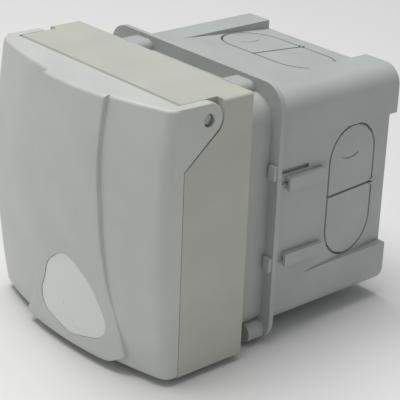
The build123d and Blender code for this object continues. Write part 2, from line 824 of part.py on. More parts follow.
def slotted_screw(head, head_height, shank, length, slot):
    """Cheese-head screw on the origin, with its head's underside at zero and its shank along -Z."""
    with BuildPart() as screw:
        with BuildSketch(Plane.XY):
            Circle(head / 2)
        extrude(amount=head_height)
        with BuildSketch(Plane.XY):
            Circle(shank / 2)
        extrude(amount=-length)
        with BuildSketch(Plane.XY.offset(head_height)):
            Rectangle(head, slot)
        extrude(amount=-head_height / 2, mode=Mode.SUBTRACT)
    return screw.part


# Screws and their threaded inserts
frame_screw = slotted_screw(screw_head_diameter, screw_head_height, screw_diameter, screw_length, screw_slot)
carrier_screw = slotted_screw(carrier_screw_head, screw_head_height, carrier_screw_diameter,
                              carrier_screw_length, screw_slot)
corners = GridLocations(screw_spread_width, screw_spread_height, 2, 2).locations
for number, corner in enumerate(corners, start=1):
    with BuildPart() as placed_screw:
        add(across(plate_front, box_level).location * corner * frame_screw)
    save(placed_screw, f"frame_screw_{number}")
    with BuildPart() as threaded_insert:
        with BuildSketch(across(post_setback + insert_length, box_level)):
            with Locations(corner):
                Circle(insert_diameter / 2)
                Circle(screw_diameter / 2 + pin_fit, mode=Mode.SUBTRACT)
        extrude(amount=insert_length)
    save(threaded_insert, f"threaded_insert_{number}")

back_plane = Plane(origin=(0, back_front, box_level), x_dir=(-1, 0, 0), z_dir=(0, 1, 0))
corners = PolarLocations(carrier_screw_circle_diameter / 2, 3, start_angle=90).locations
for number, corner in enumerate(corners, start=1):
    with BuildPart() as placed_screw:
        add(back_plane.location * corner * carrier_screw)
    save(placed_screw, f"carrier_screw_{number}")
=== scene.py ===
"""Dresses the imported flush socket: finishes for every piece, smooth mouldings, screws, seals and springs."""

import json
import logging
import math
from dataclasses import dataclass
from enum import Enum
from typing import Any, Union

import bmesh
import bpy
from mathutils import Matrix, Vector


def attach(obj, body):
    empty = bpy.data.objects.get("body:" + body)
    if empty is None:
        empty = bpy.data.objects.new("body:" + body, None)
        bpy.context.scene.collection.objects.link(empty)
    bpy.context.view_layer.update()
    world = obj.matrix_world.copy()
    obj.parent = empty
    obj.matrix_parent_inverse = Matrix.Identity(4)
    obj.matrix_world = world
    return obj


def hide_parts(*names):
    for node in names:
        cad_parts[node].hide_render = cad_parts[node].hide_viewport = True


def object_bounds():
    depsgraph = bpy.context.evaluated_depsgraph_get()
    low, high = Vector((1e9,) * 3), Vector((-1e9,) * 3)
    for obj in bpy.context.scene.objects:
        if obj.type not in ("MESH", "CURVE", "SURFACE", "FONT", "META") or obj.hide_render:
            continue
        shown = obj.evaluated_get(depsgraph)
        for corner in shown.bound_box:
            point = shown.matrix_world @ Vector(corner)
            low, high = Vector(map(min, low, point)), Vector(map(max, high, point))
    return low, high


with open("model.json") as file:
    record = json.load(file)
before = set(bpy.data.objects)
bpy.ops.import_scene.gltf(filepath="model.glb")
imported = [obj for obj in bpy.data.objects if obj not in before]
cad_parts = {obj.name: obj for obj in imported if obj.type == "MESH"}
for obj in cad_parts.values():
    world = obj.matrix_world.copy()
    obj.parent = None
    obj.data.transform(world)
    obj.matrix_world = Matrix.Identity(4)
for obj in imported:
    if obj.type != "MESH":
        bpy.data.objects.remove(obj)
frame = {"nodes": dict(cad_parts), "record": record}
CAD_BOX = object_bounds()

LOG = logging.getLogger("socket")
MM = 0.001
MERGE = 0.002 * MM
SPIN_MERGE = 0.001 * MM
FLAT = math.radians(0.4)
Colour = tuple[float, float, float]
Point = tuple[float, float, float]
Pair = tuple[float, float]


# Shader maths


class Wire:
    """A shader socket that can be used in Python expressions."""

    def __init__(self, tree: "Nodes", socket: bpy.types.NodeSocket) -> None:
        """Keeps the node tree that the socket belongs to, and the output socket."""
        self.tree = tree
        self.socket = socket

    def _maths(self, operation: str, first: Any, second: Any) -> "Wire":
        """Adds one Math node.

        Args:
            operation: the Math node's operation.
            first: its first value or link.
            second: its second value or link.

        Returns:
            The node's result.
        """
        return self.tree.add("ShaderNodeMath", {"operation": operation}, {0: first, 1: second})

    def __add__(self, other: Any) -> "Wire":
        """Sum of both."""
        return self._maths("ADD", self, other)

    def __radd__(self, other: Any) -> "Wire":
        """Sum of both, from the right."""
        return self._maths("ADD", other, self)

    def __sub__(self, other: Any) -> "Wire":
        """This less the other."""
        return self._maths("SUBTRACT", self, other)

    def __rsub__(self, other: Any) -> "Wire":
        """The other less this."""
        return self._maths("SUBTRACT", other, self)

    def __mul__(self, other: Any) -> "Wire":
        """Product of both."""
        return self._maths("MULTIPLY", self, other)

    def __rmul__(self, other: Any) -> "Wire":
        """Product of both, from the right."""
        return self._maths("MULTIPLY", other, self)

    def __pow__(self, power: Any) -> "Wire":
        """This to a power."""
        return self._maths("POWER", self, power)


Value = Union[Wire, float, tuple]


class Nodes:
    """A new material and the one way in which its nodes are added."""

    def __init__(self, name: str) -> None:
        """Makes an empty material that is mapped by the object's own coordinates.

        Args:
            name: the material's name.
        """
        self.material = bpy.data.materials.new(name)
        self.material.use_nodes = True
        self.tree = self.material.node_tree
        self.tree.nodes.clear()
        self.place = self.add("ShaderNodeTexCoord", output="Object")

    def add(self, kind: str, settings: dict[str, Any] | None = None, inputs: dict[Any, Any] | None = None,
            output: Any = 0) -> Wire:
        """Adds a node, first with its settings and then with the values or links of its sockets.

        Args:
            kind: the node's type.
            settings: attributes of the node; "stops" lists a ramp's (position, colour).
            inputs: values or wires by socket name or number.
            output: name or number of the socket to return.

        Returns:
            The output socket as a wire.
        """
        node = self.tree.nodes.new(kind)
        for key, value in (settings or {}).items():
            if key == "stops":
                self._stops(node, value)
            else:
                setattr(node, key, value)
        for key, value in (inputs or {}).items():
            if isinstance(value, Wire):
                self.tree.links.new(value.socket, node.inputs[key])
            else:
                node.inputs[key].default_value = value
        return Wire(self, node.outputs[output])

    @staticmethod
    def _stops(node: bpy.types.Node, stops: list[Pair]) -> None:
        """Sets a ramp's grey stops.

        Args:
            node: the ramp.
            stops: (position, grey) of each stop, the first two being there already.
        """
        ramp = node.color_ramp
        while len(ramp.elements) < len(stops):
            ramp.elements.new(0.5)
        for element, (position, grey) in zip(ramp.elements, stops):
            element.position = position
            element.color = (grey, grey, grey, 1)

    def noise(self, size: float, detail: float = 2.0, stretch: Point = (1, 1, 1)) -> Wire:
        """Noise with blots of a real size.

        Args:
            size: the blots' size in metres.
            detail: octaves of finer noise.
            stretch: how much finer it is along X, Y and Z.

        Returns:
            The noise's value, around a half.
        """
        vector = self.place
        if stretch != (1, 1, 1):
            vector = self.add("ShaderNodeMapping", {}, {"Vector": self.place, "Scale": stretch})
        return self.add("ShaderNodeTexNoise", {}, {"Vector": vector, "Scale": 1 / size, "Detail": detail})

    def ramp(self, value: Wire, stops: list[Pair]) -> Wire:
        """Grey ramp over a value.

        Args:
            value: what is looked up.
            stops: (position, grey) of each stop.

        Returns:
            The ramp's grey.
        """
        return self.add("ShaderNodeValToRGB", {"stops": stops}, {"Fac": value})

    def mix(self, factor: Value, first: Value, second: Value) -> Wire:
        """Mixes two colours.

        Args:
            factor: 0 gives the first and 1 the second.
            first: a colour or a wire.
            second: a colour or a wire.

        Returns:
            The mixed colour.
        """
        def rgba(colour: Any) -> Any:
            """Colour with an alpha, or the wire as it is."""
            return colour if isinstance(colour, Wire) else (*colour, 1)
        ends = {0: factor, 6: rgba(first), 7: rgba(second)}
        return self.add("ShaderNodeMix", {"data_type": "RGBA"}, ends, 2)

    def bump(self, height: Wire, depth: float) -> Wire:
        """Bump from a height.

        Args:
            height: the height, from 0 to 1.
            depth: its depth in metres.

        Returns:
            The bumped normal.
        """
        return self.add("ShaderNodeBump", {}, {"Height": height, "Distance": depth, "Strength": 1.0})

    def surface(self, inputs: dict[str, Value]) -> bpy.types.Material:
        """Ends the material in one Principled shader.

        Args:
            inputs: the shader's values and links.

        Returns:
            The finished material.
        """
        self._end(self.add("ShaderNodeBsdfPrincipled", {}, inputs))
        return self.material

    def _end(self, shader: Wire) -> None:
        """Links a shader to the material's output."""
        node = self.tree.nodes.new("ShaderNodeOutputMaterial")
        self.tree.links.new(shader.socket, node.inputs["Surface"])


# Finishes


@dataclass(frozen=True)
class Moulding:
    """Moulded plastic with an eroded grain, faint flow marks and painted shade that darkens its corners and
    creases, mottled by speck noise.
    """

    name: str
    colour: Colour
    roughness: float = 0.40
    grain: float = 0.35 * MM
    grain_depth: float = 0.012 * MM
    flow_size: float = 22 * MM
    speck_size: float = 0.9 * MM
    # The next three fields set the painted shade in corners and creases: its strength, its ambient-occlusion
    # reach and its tint.
    corner_shade_strength: float = 0.16
    shade_reach: float = 1.2 * MM
    shade_tint: Colour = (0.62, 0.59, 0.53)
    pale: float = 1.035
    deep: float = 0.965

    def make(self) -> bpy.types.Material:
        """Builds the material.

        Returns:
            The material.
        """
        nodes = Nodes(self.name)
        flow = nodes.noise(self.flow_size, 3.0)
        speck = nodes.noise(self.speck_size, 2.0)
        grain = nodes.noise(self.grain, 2.0)
        # Ambient occlusion finds the corners and creases where the painted shade goes.
        corner = nodes.add("ShaderNodeAmbientOcclusion", {"samples": 8}, {"Distance": self.shade_reach}, "AO")
        pale = tuple(min(1.0, c * self.pale) for c in self.colour)
        deep = tuple(c * self.deep for c in self.colour)
        shaded_colour = tuple(c * shade_tint for c, shade_tint in zip(self.colour, self.shade_tint))
        base = nodes.mix(nodes.ramp(flow, [(0.35, 0.0), (0.65, 1.0)]), deep, pale)
        # Painted shade: corners and creases darken towards the shade tint, broken up by speck noise.
        painted_shade_mask = (1 - corner) * nodes.ramp(speck, [(0.35, 0.55), (0.65, 1.0)]) * self.corner_shade_strength
        colour = nodes.mix(painted_shade_mask, base, shaded_colour)
        roughness = self.roughness + (flow - 0.5) * 0.10 + (speck - 0.5) * 0.08
        return nodes.surface({
            "Base Color": colour,
            "Roughness": roughness,
            "IOR": 1.48,
            "Normal": nodes.bump(grain, self.grain_depth),
        })


@dataclass(frozen=True)
class Foil:
    """Blank label film, satin and slightly silvery."""

    name: str
    colour: Colour
    roughness: float = 0.30
    ripple_size: float = 6 * MM
    ripple_depth: float = 0.03 * MM
    fleck_size: float = 0.25 * MM

    def make(self) -> bpy.types.Material:
        """Builds the material.

        Returns:
            The material.
        """
        nodes = Nodes(self.name)
        ripple = nodes.noise(self.ripple_size, 2.0)
        fleck = nodes.noise(self.fleck_size, 1.0)
        deep = tuple(c * 0.97 for c in self.colour)
        pale = tuple(min(1, c * 1.03) for c in self.colour)
        colour = nodes.mix(fleck, deep, pale)
        return nodes.surface({
            "Base Color": colour,
            "Roughness": self.roughness + (ripple - 0.5) * 0.12,
            "Metallic": 0.15,
            "Normal": nodes.bump(ripple, self.ripple_depth),
        })


@dataclass(frozen=True)
class Rubber:
    """Soft black rubber with a bloom."""

    name: str
    colour: Colour = (0.028, 0.028, 0.030)
    bloom_size: float = 5 * MM
    pore_size: float = 0.3 * MM
    pore_depth: float = 0.02 * MM

    def make(self) -> bpy.types.Material:
        """Builds the material.

        Returns:
            The material.
        """
        nodes = Nodes(self.name)
        bloom = nodes.noise(self.bloom_size, 4.0)
        pores = nodes.noise(self.pore_size, 2.0)
        pale = tuple(c * 2.1 for c in self.colour)
        return nodes.surface({
            "Base Color": nodes.mix(nodes.ramp(bloom, [(0.4, 0.0), (0.75, 0.8)]), self.colour, pale),
            "Roughness": 0.62 + (bloom - 0.5) * 0.2,
            "Normal": nodes.bump(pores, self.pore_depth),
        })


@dataclass(frozen=True)
class Metal:
    """Drawn or turned metal with fine scratches and a slight tarnish."""

    name: str
    colour: Colour
    tarnish: Colour
    roughness: float = 0.28
    lie: Point = (1, 1, 1)
    scratch_size: float = 0.25 * MM
    scratch_depth: float = 0.008 * MM
    stain_size: float = 3.5 * MM

    def make(self) -> bpy.types.Material:
        """Builds the material.

        Returns:
            The material.
        """
        nodes = Nodes(self.name)
        scratch = nodes.noise(self.scratch_size, 3.0, self.lie)
        stain = nodes.ramp(nodes.noise(self.stain_size, 4.0), [(0.45, 0.0), (0.75, 0.6)])
        return nodes.surface({
            "Base Color": nodes.mix(stain, self.colour, self.tarnish),
            "Roughness": self.roughness + (scratch - 0.5) * 0.16 + stain * 0.15,
            "Metallic": 1.0,
            "Normal": nodes.bump(scratch, self.scratch_depth),
        })


class Finish(Enum):
    """The object's finishes, by the record's slot."""

    LID = "lid_plastic"
    FRAME = "frame_plastic"
    BOX = "box_plastic"
    LABEL = "label_foil"
    INSULATOR = "insulator"
    SEAL = "seal_rubber"
    BRASS = "brass"
    STEEL = "steel"
    PIN = "pin_steel"


class Palette:
    """Makes each finish once and hands it out."""

    def __init__(self) -> None:
        """Makes every finish."""
        makers: dict[Finish, Any] = {
            Finish.LID: Moulding("lid_plastic", (0.585, 0.602, 0.560)),
            Finish.FRAME: Moulding("frame_plastic", (0.520, 0.530, 0.462)),
            Finish.BOX: Moulding("box_plastic", (0.455, 0.478, 0.462), roughness=0.42),
            Finish.LABEL: Foil("label_foil", (0.780, 0.795, 0.765)),
            Finish.INSULATOR: Moulding("insulator", (0.075, 0.077, 0.082), roughness=0.38),
            Finish.SEAL: Rubber("seal_rubber"),
            Finish.BRASS: Metal("brass", (0.78, 0.60, 0.30), (0.50, 0.34, 0.16), lie=(0.1, 1, 1)),
            Finish.STEEL: Metal("steel", (0.62, 0.63, 0.64), (0.42, 0.41, 0.39), lie=(0.1, 1, 1)),
            Finish.PIN: Metal("pin_steel", (0.40, 0.40, 0.37), (0.24, 0.23, 0.20), 0.42),
        }
        self._made = {finish: maker.make() for finish, maker in makers.items()}

    def dress(self, piece: bpy.types.Object, finish: Finish) -> bpy.types.Object:
        """Gives a piece one finish all over.

        Args:
            piece: the mesh object.
            finish: which finish.

        Returns:
            The same piece.
        """
        piece.data.materials.clear()
        piece.data.materials.append(self._made[finish])
        return piece


# Studio


@dataclass
class Studio:
    """Camera, lamps and floor. The camera stands where the photograph was taken from."""

    azimuth: float = 48.86
    elevation: float = 23.65
    roll: float = 2.21
    focal: float = 127.2
    place: Point = (0.3744, -0.3055, 0.2051)
    sensor: float = 36.0
    floor_size: float = 30.0
    floor_gap: float = 0.2 * MM
    floor_mottle: float = 0.4
    sky: tuple = (0.92, 0.93, 0.95, 1)
    sky_strength: float = 0.29

    def camera(self) -> None:
        """Adds the camera and makes it the scene's."""
        az, el, roll = (math.radians(a) for a in (self.azimuth, self.elevation, self.roll))
        back = Vector((math.cos(el) * math.sin(az), -math.cos(el) * math.cos(az), math.sin(el)))
        level = Vector((math.cos(az), math.sin(az), 0))
        upright = back.cross(level)
        right = level * math.cos(roll) + upright * math.sin(roll)
        up = upright * math.cos(roll) - level * math.sin(roll)
        data = bpy.data.cameras.new("camera")
        data.sensor_width = self.sensor
        data.sensor_fit = "HORIZONTAL"
        data.lens = self.focal
        data.clip_start = 0.01
        data.clip_end = 50
        camera = bpy.data.objects.new("camera", data)
        turn = Matrix((right, up, back)).transposed().to_4x4()
        camera.matrix_world = Matrix.Translation(self.place) @ turn
        bpy.context.scene.collection.objects.link(camera)
        bpy.context.scene.camera = camera

    def lamp(self, name: str, place: Point, size: float, power: float, aim: Point = (0, 0, 0)) -> None:
        """Adds one square soft lamp.

        Args:
            name: its name.
            place: where it stands, in metres.
            size: its side in metres.
            power: its power in watts.
            aim: the point it faces.
        """
        data = bpy.data.lights.new(name, "AREA")
        data.shape = "SQUARE"
        data.size = size
        data.energy = power
        lamp = bpy.data.objects.new(name, data)
        facing = (Vector(aim) - Vector(place)).to_track_quat("-Z", "Y")
        lamp.matrix_world = Matrix.Translation(place) @ facing.to_matrix().to_4x4()
        bpy.context.scene.collection.objects.link(lamp)

    def floor(self) -> None:
        """Adds a plain pale floor under the object's lowest point."""
        deselect()
        level = CAD_BOX[0][2] - self.floor_gap
        bpy.ops.mesh.primitive_plane_add(size=self.floor_size, location=(0, 0, level))
        floor = bpy.context.object
        floor.name = "floor"
        bpy.ops.object.transform_apply(location=True, rotation=True, scale=True)
        nodes = Nodes("floor")
        mottle = nodes.noise(self.floor_mottle, 2.0)
        floor.data.materials.append(nodes.surface({
            "Base Color": nodes.mix(mottle, (0.78, 0.78, 0.77), (0.82, 0.82, 0.81)),
            "Roughness": 0.8,
        }))

    def world(self) -> None:
        """Lights the scene evenly from all round."""
        world = bpy.data.worlds.new("studio")
        world.use_nodes = True
        background = world.node_tree.nodes["Background"]
        background.inputs["Color"].default_value = self.sky
        background.inputs["Strength"].default_value = self.sky_strength
        bpy.context.scene.world = world

    def build(self) -> None:
        """Sets the whole studio."""
        bpy.context.scene.view_settings.view_transform = "Standard"
        self.camera()
        self.world()
        self.lamp("key", (-0.20, -0.10, 1.18), 0.9, 13.2)
        self.lamp("front", (-0.60, -1.10, 0.35), 0.9, 0.6)
        self.floor()


# Shaping


def deselect() -> None:
    """Deselects every object, in object mode."""
    if bpy.context.object and bpy.context.object.mode != "OBJECT":
        bpy.ops.object.mode_set(mode="OBJECT")
    bpy.ops.object.select_all(action="DESELECT")


def apply(piece: bpy.types.Object, kind: str, **settings: Any) -> None:
    """Adds a modifier and applies it.

    Args:
        piece: the mesh object.
        kind: the modifier's type.
        settings: its settings.
    """
    deselect()
    piece.select_set(True)
    bpy.context.view_layer.objects.active = piece
    modifier = piece.modifiers.new(kind.lower(), kind)
    for key, value in settings.items():
        setattr(modifier, key, value)
    bpy.ops.object.modifier_apply(modifier=modifier.name)


def combine(piece: bpy.types.Object, other: bpy.types.Object, operation: str) -> None:
    """Joins, cuts or intersects a piece with another, which is used up.

    Args:
        piece: the mesh object that stays.
        other: the mesh object that goes.
        operation: UNION, DIFFERENCE or INTERSECT.
    """
    apply(piece, "BOOLEAN", object=other, operation=operation, solver="EXACT")
    bpy.data.objects.remove(other, do_unlink=True)


def finish_edges(piece: bpy.types.Object, width: float, segments: int = 2, sharp: float = 35.0) -> None:
    """Rounds a piece's sharp edges and smooths the rest.

    Args:
        piece: the mesh object.
        width: the rounding in millimetres.
        segments: faces across the rounding.
        sharp: edges bent by more than this many degrees are rounded.
    """
    deselect()
    piece.select_set(True)
    bpy.context.view_layer.objects.active = piece
    bpy.ops.object.mode_set(mode="EDIT")
    bpy.ops.mesh.select_all(action="SELECT")
    bpy.ops.mesh.remove_doubles(threshold=MERGE)
    bpy.ops.mesh.dissolve_limited(angle_limit=FLAT)
    bpy.ops.object.mode_set(mode="OBJECT")
    if width:
        apply(piece, "BEVEL", width=width * MM, segments=segments, limit_method="ANGLE",
              angle_limit=math.radians(sharp), harden_normals=False, use_clamp_overlap=True)
    bpy.ops.object.shade_smooth_by_angle(angle=math.radians(sharp))
    apply(piece, "WEIGHTED_NORMAL", keep_sharp=True, weight=60)


def loft(name: str, sections: list[list[Point]]) -> bpy.types.Object:
    """Solid through sections that have the same number of points.

    Args:
        name: the object's name.
        sections: closed outlines in millimetres, in order.

    Returns:
        The new mesh object.
    """
    deselect()
    bpy.ops.mesh.primitive_circle_add(vertices=len(sections[0]), radius=1, fill_type="NGON")
    piece = bpy.context.object
    piece.name = name
    for vertex, point in zip(piece.data.vertices, sections[0]):
        vertex.co = Vector(point) * MM
    bpy.ops.object.mode_set(mode="EDIT")
    bpy.ops.mesh.select_all(action="SELECT")
    before = sections[0]
    for section in sections[1:]:
        bpy.ops.mesh.extrude_region_move(TRANSFORM_OT_translate={"value": (0, 0, 0)})
        mesh = bmesh.from_edit_mesh(piece.data)
        moves = {grid(Vector(old) * MM): Vector(new) * MM for old, new in zip(before, section)}
        for vertex in mesh.verts:
            if vertex.select:
                vertex.co = moves[grid(vertex.co)]
        bmesh.update_edit_mesh(piece.data)
        before = section
    bpy.ops.mesh.select_all(action="SELECT")
    bpy.ops.mesh.normals_make_consistent(inside=False)
    bpy.ops.object.mode_set(mode="OBJECT")
    return piece


def grid(place: Vector) -> tuple[int, ...]:
    """Place rounded to a hundredth of a millimetre, to look points up by."""
    return tuple(round(c * 1e5) for c in place)


def prism(name: str, outline: list[Point], reach: Point) -> bpy.types.Object:
    """Flat outline pushed along a vector.

    Args:
        name: the object's name.
        outline: the closed outline in millimetres.
        reach: the vector in millimetres.

    Returns:
        The new mesh object.
    """
    far = [tuple(a + b for a, b in zip(point, reach)) for point in outline]
    return loft(name, [outline, far])


def turned(name: str, profile: list[Pair], centre: Point, steps: int = 96) -> bpy.types.Object:
    """Ring or disc turned about an axis that runs into the wall.

    Args:
        name: the object's name.
        profile: closed outline as (radius, y) in millimetres.
        centre: a point on the axis.
        steps: faces round the axis.

    Returns:
        The new mesh object.
    """
    deselect()
    bpy.ops.mesh.primitive_circle_add(vertices=len(profile), radius=1, fill_type="NOTHING")
    piece = bpy.context.object
    piece.name = name
    for vertex, (radius, y) in zip(piece.data.vertices, profile):
        vertex.co = Vector((centre[0] + radius, y, centre[2])) * MM
    bpy.ops.object.mode_set(mode="EDIT")
    bpy.ops.mesh.select_all(action="SELECT")
    bpy.ops.mesh.spin(steps=steps, angle=2 * math.pi, center=Vector(centre) * MM, axis=(0, 1, 0),
                      use_auto_merge=True)
    bpy.ops.mesh.select_all(action="SELECT")
    bpy.ops.mesh.remove_doubles(threshold=SPIN_MERGE)
    bpy.ops.mesh.normals_make_consistent(inside=False)
    bpy.ops.object.mode_set(mode="OBJECT")
    return piece


def arc(centre: Pair, radius: float, start: float, end: float, steps: int) -> list[Pair]:
    """Points along a circular arc.

    Args:
        centre: its middle.
        radius: its radius.
        start: first angle in degrees.
        end: last angle in degrees.
        steps: how many steps it takes.

    Returns:
        The points, both ends included.
    """
    turns = [math.radians(start + (end - start) * i / steps) for i in range(steps + 1)]
    return [(centre[0] + radius * math.cos(t), centre[1] + radius * math.sin(t)) for t in turns]


# Lid


@dataclass
class LidForm:
    """Curves of the lid's skin, in millimetres."""

    half: float = 50.0
    back: float = -29.45
    crown: float = 46.2
    sag: float = 4.1
    barrel: float = 166.0
    corner: float = 5.0
    waist: float = 14.8
    waist_height: float = 35.0
    flare: float = 249.0
    middle: float = 7.5
    lip: float = 2.6
    lip_back: float = 42.8
    lip_front: float = 45.4
    lip_drop: float = 0.2
    lip_hollow: float = 1.6
    dip_height: float = -28.0
    crown_height: float = 11.0
    crown_radius: float = 239.3
    crown_centre: float = 190.9
    swell: float = 1.6
    swell_start: float = -15.0
    swell_run: float = 45.0
    swell_middle: float = 16.0
    swell_half_width: float = 32.0
    shoulder: float = 2.2
    shoulder_start: float = -20.0
    shoulder_run: float = 30.0
    tuck: Pair = (-44.0, 6.0)
    tuck_lead: float = 0.5
    tuck_reach: float = 17.0
    tuck_step: float = 3.0
    left_tuck_reach: float = 10.0
    panel_rounding: float = 0.55
    rounding_share: float = 0.45
    least_rise: float = 0.02
    wall_foot: Pair = (0.10, 0.12)
    wall_run: float = 0.12
    side_margin: float = 0.5
    corner_steps: int = 8
    across_steps: int = 30
    near_steps: int = 9
    far_steps: int = 22

    @property
    def axis(self) -> float:
        """How far behind the wall's plane the barrel's upright axis stands."""
        return self.barrel - self.crown

    def ahead(self, z: float) -> float:
        """Barrel's distance ahead of the wall, on its middle line, at height z."""
        return self.crown - self.sag * (z / self.half) ** 2

    def bulge(self, z: float, x: float) -> float:
        """How much fuller than the barrel the skin is beside the panel's right edge.

        Args:
            z: height of the point.
            x: its distance from the middle, to the right.

        Returns:
            The fullness in millimetres.
        """
        fuller = min(1.0, max(0.0, (z - self.swell_start) / self.swell_run))
        across = (x - self.swell_middle) / self.swell_half_width
        return self.swell * fuller * max(0.0, 1 - across ** 2) ** 2

    def edge_x(self, z: float, side: int) -> float:
        """Where the panel's edge is; its lower corners are rounded up.

        Args:
            z: height of the point.
            side: 1 for the right edge and -1 for the left.

        Returns:
            The edge's x.
        """
        spread = self.waist + (z - self.waist_height) ** 2 / (2 * self.flare)
        if side < 0:
            down = min(1.0, max(0.0, (self.lip - self.half - z) / self.lip))
            return self.middle - spread + self.left_tuck_reach * (1 - math.sqrt(1 - down * down))
        start, height = self.tuck
        down = min(1.0, max(0.0, (start - z) / height))
        wider = self.shoulder * min(1.0, max(0.0, (z - self.shoulder_start) / self.shoulder_run))
        drawn_in = self.tuck_reach * (1 - math.sqrt(1 - down * down))
        step = self.tuck_step * min(1.0, down * 2)
        return self.middle + spread + wider - drawn_in - step

    def panel_ahead(self, z: float) -> float:
        """Raised panel's distance ahead of the wall, on its middle line.

        Args:
            z: height of the point.

        Returns:
            The distance.
        """
        foot = self.lip - self.half
        if z < foot:
            return self.lip_back + math.sqrt(max(0.0, self.lip ** 2 - (z - foot) ** 2))
        if z < self.dip_height:
            along = (z - foot) / (self.dip_height - foot)
            return self.lip_front - self.lip_drop * along - self.lip_hollow * along * (1 - along)
        return -self.crown_centre + math.sqrt(self.crown_radius ** 2 - (z - self.crown_height) ** 2)

    def y(self, ahead: float, x: float) -> float:
        """Depth of a skin that is `ahead` of the wall on the middle line, at x."""
        return self.axis - math.sqrt((self.axis + ahead) ** 2 - x * x)

    def edge(self, z: float, base: float, top: float, start: float, x: float, zone: int) -> list[Pair]:
        """Skin from the corner's rounding to the panel's rounded edge, towards the middle.

        Args:
            z: height of the section.
            base: how far ahead the barrel is.
            top: how far ahead the panel is.
            start: x where the corner's rounding ends.
            x: where the panel's edge is.
            zone: steps between both.

        Returns:
            Points as (x, y).
        """
        side = 1 if start > 0 else -1
        steps = [start + (x - start) * i / zone for i in range(1, zone + 1)]
        points = [(px, self.y(base, px) - self.bulge(z, px)) for px in steps]
        low, high = points[-1][1], self.y(top, x)
        rho = min(self.panel_rounding, self.rounding_share * max(self.least_rise, low - high))
        run, share = self.wall_foot
        points.append((x - side * run, low + (high - low) * share))
        points += [(x - side * (self.wall_run + rho * (1 - math.cos(t))), high + rho * (1 - math.sin(t)))
                   for t in (math.pi / 8 * i for i in range(5))]
        return points

    def section(self, z: float, inset: float = 0.0, panel: float | None = 0.0,
                back: float | None = None) -> list[Point]:
        """Level outline of the lid at height z.

        Args:
            z: the height.
            inset: how far the outline lies inside the skin.
            panel: how far the panel's face is set back, or None to leave the panel out.
            back: where the outline ends behind.

        Returns:
            The closed outline.
        """
        corner = self.corner - inset
        base = self.ahead(z) - inset
        x = self.half - inset - corner
        y = self.axis - math.sqrt((self.axis + base - corner) ** 2 - x * x)
        tangent = math.degrees(math.atan2(self.axis - y, x))
        right = [(self.half - inset, self.back if back is None else back)]
        right += [(px, 2 * y - py) for px, py in arc((x, y), corner, 0, tangent, self.corner_steps)]
        start, count = right[-1][0], self.across_steps
        if panel is None:
            across = [start * (1 - i / count) for i in range(1, 2 * count)]
            front = [(px, self.y(base, px)) for px in across]
        else:
            top = self.panel_ahead(z) - panel
            right_edge = min(self.edge_x(z, 1), start - self.side_margin)
            left_edge = max(self.edge_x(z, -1), self.side_margin - start)
            near = self.edge(z, base, top, start, right_edge, self.near_steps)
            far = self.edge(z, base, top, -start, left_edge, self.far_steps)
            first, last = near[-1][0], far[-1][0]
            across = [first + (last - first) * i / count for i in range(1, count)]
            front = near + [(px, self.y(top, px)) for px in across] + far[::-1]
        left = [(-px, py) for px, py in right[::-1]]
        return [(px, py, z) for px, py in right + front + left]

    def heights(self, foot: float, top: float, count: int) -> list[Pair]:
        """Heights of the sections with the inset that rounds the lid's foot and top.

        Args:
            foot: rounding at the foot.
            top: rounding at the top.
            count: even steps between.

        Returns:
            (height, inset) of each section.
        """
        turns = [math.pi / 12 * i for i in range(6)]
        rows = [(-self.half + foot * (1 - math.cos(t)), foot * (1 - math.sin(t))) for t in turns]
        low = self.tuck[0] + self.tuck_lead
        rows += [(-self.half + foot + (self.half - foot + low) * i / 10, 0.0) for i in range(10)]
        rows += [(low + (self.half - top - low) * i / count, 0.0) for i in range(count + 1)]
        rows += [(self.half - top * (1 - math.cos(t)), top * (1 - math.sin(t))) for t in reversed(turns)]
        return rows

    def solid(self, name: str, inset: float, panel: float | None, back: float | None = None,
              foot: float = 0.0, top: float = 0.0) -> bpy.types.Object:
        """The lid's form as a solid.

        Args:
            name: the object's name.
            inset: how far it lies inside the skin.
            panel: how far the panel's face is set back, or None.
            back: where it ends behind.
            foot: rounding at the foot.
            top: rounding at the top.

        Returns:
            The new mesh object.
        """
        if foot:
            rows = self.heights(foot, top, 44)
            return loft(name, [self.section(z, i, i if z > 0 else 0.0, back) for z, i in rows])
        reach = self.half - inset
        rows = [-reach + 2 * reach * i / 24 for i in range(25)]
        return loft(name, [self.section(z, inset, panel, back) for z in rows])


